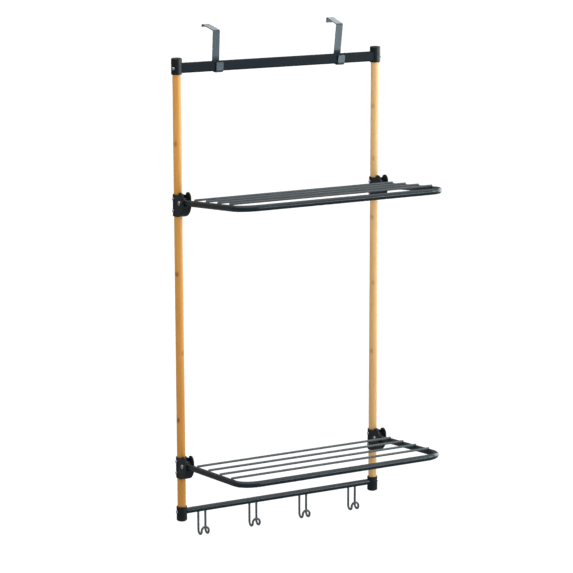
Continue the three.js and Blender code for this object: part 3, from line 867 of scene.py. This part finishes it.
shelf_tube = shelf_tube_shape()
shelf_wire = shelf_wire_shape()
eye = eye_shape()
tilt = Matrix.Rotation(-SHELF_TILT, 4, "X")
for level, pivot in PIVOTS.items():
    place = Matrix.Translation(pivot)
    add_piece(f"{level}_shelf_tube", moved(shelf_tube, tilt), "tube_coat", place)
    for i in range(1, SHELF_WIRES + 1):
        forward = SHELF_REACH * i / (SHELF_WIRES + 1)
        seated = moved(shelf_wire, tilt @ at(0, -forward, TUBE_R + WIRE_R - WIRE_SINK))
        add_piece(f"{level}_shelf_wire_{i}", seated, "wire_coat_painted_sheen", place)
    for side, sign in SIDES.items():
        add_piece(f"{level}_shelf_{side}_eye", moved(eye, tilt), "nylon", place @ at(sign * POST_X, 0, 0))

# ---- Towel hooks ----


def towel_hook_shape():
    """One wire bent to a double hook: two legs down, a U forward and a round tip."""
    w, front, low = HOOK_HALF_WIDTH, -2 * HOOK_U_R, -HOOK_DROP
    weld = -TUBE_R - GAP
    tip = low + HOOK_U_R + HOOK_HALF_WIDTH
    corners = [(-w, 0, weld), (-w, 0, low), (-w, front, low), (-w, front, tip),
               (w, front, tip), (w, front, low), (w, 0, low), (w, 0, weld)]
    radii = [HOOK_U_R, HOOK_U_R, HOOK_HALF_WIDTH, HOOK_HALF_WIDTH, HOOK_U_R, HOOK_U_R]
    rod = rod_shape(bent_path(corners, radii, 12))
    bead = weld_bead(across=3.3 * MM, along=3.3 * MM, tall=1.6 * MM)
    beads = [moved(bead, at(sign * w, 0, weld)) for sign in (-1, 1)]
    return smoothed(gathered(rod, *beads), 60)


towel_hook = towel_hook_shape()
for i in range(1, HOOK_COUNT + 1):
    name = f"towel_hook_{i}"
    add_piece(name, towel_hook, "wire_coat_painted_sheen", at(middle(name).x, 0, BOTTOM_BAR_Z))

# ---- Door hooks ----


def door_hook_shape(depth, back_lip):
    """A flat steel strip: a J under the bar, a riser behind it, a plate over the door and a lip."""
    back_y = J_HALF + depth * math.cos(DOOR_RISE)
    back_z = STRIP_TOP + depth * math.sin(DOOR_RISE)
    corners = [(0, -J_HALF, LIP_TOP), (0, -J_HALF, J_BOTTOM), (0, J_HALF, J_BOTTOM),
               (0, J_HALF, STRIP_TOP), (0, back_y, back_z), (0, back_y, back_z - back_lip)]
    stations = bent_path(corners, [J_BEND_R, J_BEND_R, TOP_BEND_R, TOP_BEND_R], 10)
    section = rounded_rectangle(STRIP_WIDTH, STRIP_THICK, 0.5 * MM, 4)
    rings = rings_along(stations, section, (1, 0, 0))

    def sheared_end(ring, outward):
        """The strip's corners are clipped round, 2.5 mm, and its tip is thinned to ease the edge."""
        corner = 2.5 * MM
        centre = sum(ring, Vector()) / len(ring)
        made = []
        for degrees in (0, 15, 30, 45, 60, 75, 90):
            turn = math.radians(degrees)
            back = corner * (1 - math.sin(turn))
            width = 1 - corner * (1 - math.cos(turn)) / (STRIP_WIDTH / 2)
            thickness = 1.0 if degrees < 75 else 0.6
            made.append([Vector((point.x * width, *(centre + (point - centre) * thickness).yz))
                         - outward * back for point in ring])
        return made

    start = sheared_end(rings[0], -stations[0][1])
    finish = sheared_end(rings[-1], stations[-1][1])
    return smoothed(skin(start[::-1] + rings[1:-1] + finish))


hook_pieces = []
for side, (lean, depth, back_lip) in DOOR_HOOKS.items():
    name = f"{side}_door_hook"
    leaning = moved(door_hook_shape(depth, back_lip), Matrix.Rotation(lean, 4, "X"))
    hook_pieces.append(add_piece(name, leaning, "strip_coat_painted_reflection", at(middle(name).x, 0, 0)))

# ---- Stage: a white floor at a door's height below the hooks ----

DOOR_HEIGHT = 2.03
FLOOR_HALF = 60.0


def add_floor():
    z = STRIP_TOP - DOOR_HEIGHT
    corners = [Vector((x * FLOOR_HALF, y * FLOOR_HALF, z)) for x, y in ((-1, -1), (1, -1), (1, 1), (-1, 1))]
    shell = bmesh.new()
    shell.faces.new([shell.verts.new(corner) for corner in corners])
    floor = bpy.data.objects.new("floor", as_mesh(shell))
    floor.data.materials.append(studio_floor())
    scene.collection.objects.link(floor)
    floor.visible_glossy = False     # white paper mirrored in the black tubes would hide their edges


add_floor()

# ---- Lights ----

DAYLIGHT = (0.9, 0.97, 1.0)
RACK_MIDDLE = (0, -0.1, -0.5)


def light_set(name, objects, link_state):
    """A collection that says which objects a light reaches (INCLUDE) or misses (EXCLUDE)."""
    collection = bpy.data.collections.new(name)
    for thing in objects:
        collection.objects.link(thing)
    for member in collection.collection_objects:
        member.light_linking.link_state = link_state
    return collection


def add_softbox(name, place, target, width, height, power, receivers):
    light = bpy.data.lights.new(name, "AREA")
    light.shape = "RECTANGLE"
    light.size = width
    light.size_y = height
    light.energy = power
    light.color = DAYLIGHT
    box = bpy.data.objects.new(name, light)
    box.location = place
    box.rotation_euler = (Vector(target) - Vector(place)).to_track_quat("-Z", "Y").to_euler()
    box.visible_camera = False
    box.light_linking.receiver_collection = receivers
    scene.collection.objects.link(box)
    return box


rack_only = light_set("all_but_the_floor", [bpy.data.objects["floor"]], "EXCLUDE")
hooks_only = light_set("door_hooks", hook_pieces, "INCLUDE")
add_softbox("key_softbox", (2.9, -2.4, 0.4), RACK_MIDDLE, 1.4, 2.4, 80, rack_only)
add_softbox("side_softbox", (3.5, 0.5, -0.2), RACK_MIDDLE, 2.8, 2.8, 108, rack_only)
add_softbox("front_softbox", (2.3, -4.4, -0.05), (0, -0.1, -0.6), 1.3, 0.9, 42, rack_only)
fill = add_softbox("fill_softbox", (-2.2, -4.6, 0.4), RACK_MIDDLE, 2.5, 2.5, 90, rack_only)
fill.visible_glossy = False      # it lifts the wood without a highlight on the black parts
# the flat hooks mirror a box low in front of them, and their top plates one high behind the door
add_softbox("hook_softbox", (1.4, -2.6, -1.4), (0, 0, 0), 1.8, 0.95, 28, hooks_only)
add_softbox("top_softbox", (2.3, 3.6, 2.65), (0, 0, 0.1), 1.6, 1.6, 24, hooks_only)

DIM_WALLS = 0.2
WALLS_END = 0.45                 # the sine of an elevation, as the next one is
WHITE_CEILING = 1.75
CEILING_START = 0.8


def add_room():
    """A white ceiling lights the floor, and dim walls keep black parts black."""
    world = bpy.data.worlds.new("studio_room")
    world.use_nodes = True
    tree = world.node_tree
    tree.nodes.clear()
    way = add_node(tree, "ShaderNodeTexCoord", {})["Generated"]
    axes = add_node(tree, "ShaderNodeSeparateXYZ", {"Vector": way})
    level = add_node(tree, "ShaderNodeMapRange", {
        "Value": axes["Z"], "From Min": WALLS_END, "From Max": CEILING_START,
        "To Min": DIM_WALLS, "To Max": WHITE_CEILING}, interpolation_type="SMOOTHSTEP")
    glow = add_node(tree, "ShaderNodeBackground", {"Color": (1, 1, 1, 1), "Strength": level["Result"]})
    add_node(tree, "ShaderNodeOutputWorld", {"Surface": glow["Background"]})
    scene.world = world


add_room()
scene.view_settings.view_transform = "Standard"

bpy.context.view_layer.update()
